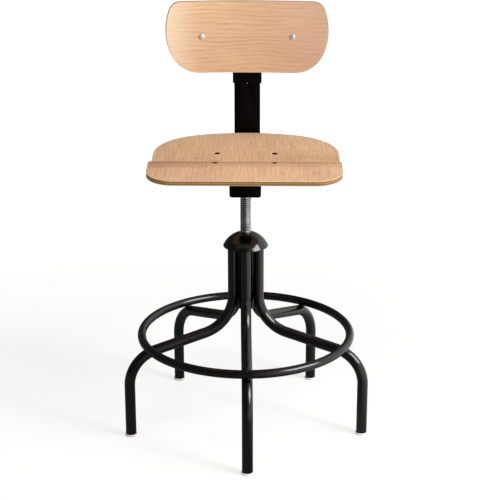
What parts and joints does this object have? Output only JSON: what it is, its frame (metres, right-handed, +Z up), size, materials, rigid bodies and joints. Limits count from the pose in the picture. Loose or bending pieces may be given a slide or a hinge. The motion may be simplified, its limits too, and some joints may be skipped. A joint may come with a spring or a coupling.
{
  "type": "task chair",
  "caption": "Task chair with a screw lift, a moulded plywood seat and back, and a tube base with a round foot ring.",
  "frame": {"origin": "on the floor, on the axis of the lift screw, which is the middle of the base", "axes": "+Z is up, -Y is the way the sitter faces, +X is to the right in the picture"},
  "size_m": [0.5123, 0.5372, 0.8719],
  "materials": {
    "gloss_black": "gloss black powder coat",
    "satin_black": "satin black paint",
    "zinc_steel": "zinc plated",
    "screw_steel": "turned and lightly oiled",
    "black_oxide": "blackened",
    "nylon": "smooth white nylon",
    "seat_plywood": "clear satin lacquer, grain from front to rear",
    "back_plywood": "clear satin lacquer, grain from side to side",
    "brass": "turned",
    "knob_plastic": "fine grained moulding"
  },
  "bodies": {
    "base": {"hub_tube": "gloss_black", "lift_nut": "zinc_steel", "leg_front": "gloss_black", "leg_front_right": "gloss_black", "leg_rear_right": "gloss_black", "leg_rear_left": "gloss_black", "leg_front_left": "gloss_black", "foot_ring": "gloss_black", "ring_welds": "gloss_black", "hub_welds": "gloss_black", "foot_glides": "nylon", "dome_cap": "gloss_black"},
    "lift_stop": {"stop_washer": "zinc_steel"},
    "seat_carrier": {"lift_screw": "screw_steel", "stop_bolt": "zinc_steel", "screw_collar": "satin_black", "collar_pin": "zinc_steel", "seat_channel": "satin_black", "channel_end_plate": "satin_black", "seat_plate": "satin_black", "guide_plate": "satin_black", "guide_pins": "zinc_steel", "depth_stop_pin": "zinc_steel", "clamp_nut": "zinc_steel", "seat_panel": "seat_plywood", "seat_bolts": "black_oxide", "seat_nuts": "zinc_steel"},
    "depth_clamp": {"depth_pad": "brass"},
    "depth_grip": {"depth_stud": "zinc_steel", "depth_knob": "knob_plastic"},
    "back_arm": {"back_bar": "satin_black"},
    "back_rest": {"back_sleeve": "satin_black", "sleeve_boss": "satin_black", "height_stop_pin": "zinc_steel", "back_strap": "satin_black", "strap_welds": "satin_black", "back_panel": "back_plywood", "back_bolts": "zinc_steel", "back_nuts": "zinc_steel"},
    "height_clamp": {"height_pad": "brass"},
    "height_grip": {"height_stud": "zinc_steel", "height_knob": "knob_plastic"}
  },
  "joints": [
    {"name": "lift", "type": "slide", "parent": "base", "child": "lift_stop", "axis": [0, 0, 1], "range_m": [-0.08043, 0.04657]},
    {"name": "turn", "type": "hinge", "parent": "lift_stop", "child": "seat_carrier", "pos_m": [0, 0, 0.4], "axis": [0, 0, 1], "range_deg": [-6841, 3961]},
    {"name": "depth_pad_slide", "type": "slide", "parent": "seat_carrier", "child": "depth_clamp", "axis": [0, 0, 1], "range_m": [-0.003, 0]},
    {"name": "depth_knob_turn", "type": "hinge", "parent": "depth_clamp", "child": "depth_grip", "pos_m": [0, 0.0645, 0.5], "axis": [0, 0, 1], "range_deg": [-721, 0]},
    {"name": "back_depth", "type": "slide", "parent": "seat_carrier", "child": "back_arm", "axis": [0, 1, 0], "range_m": [-0.015, 0.035]},
    {"name": "back_height", "type": "slide", "parent": "back_arm", "child": "back_rest", "axis": [0, 0, 1], "range_m": [-0.05, 0.03]},
    {"name": "height_pad_slide", "type": "slide", "parent": "back_rest", "child": "height_clamp", "axis": [0, 1, 0], "range_m": [0, 0.003]},
    {"name": "height_knob_turn", "type": "hinge", "parent": "height_clamp", "child": "height_grip", "pos_m": [0, 0.25, 0.7213], "axis": [0, 1, 0], "range_deg": [0, 721]}
  ],
  "couplings": [
    {"joint": "turn", "follows": "lift", "rad_per_m": 1484.2},
    {"joint": "depth_knob_turn", "follows": "depth_pad_slide", "rad_per_m": 4188.8},
    {"joint": "height_knob_turn", "follows": "height_pad_slide", "rad_per_m": 4188.8}
  ]
}
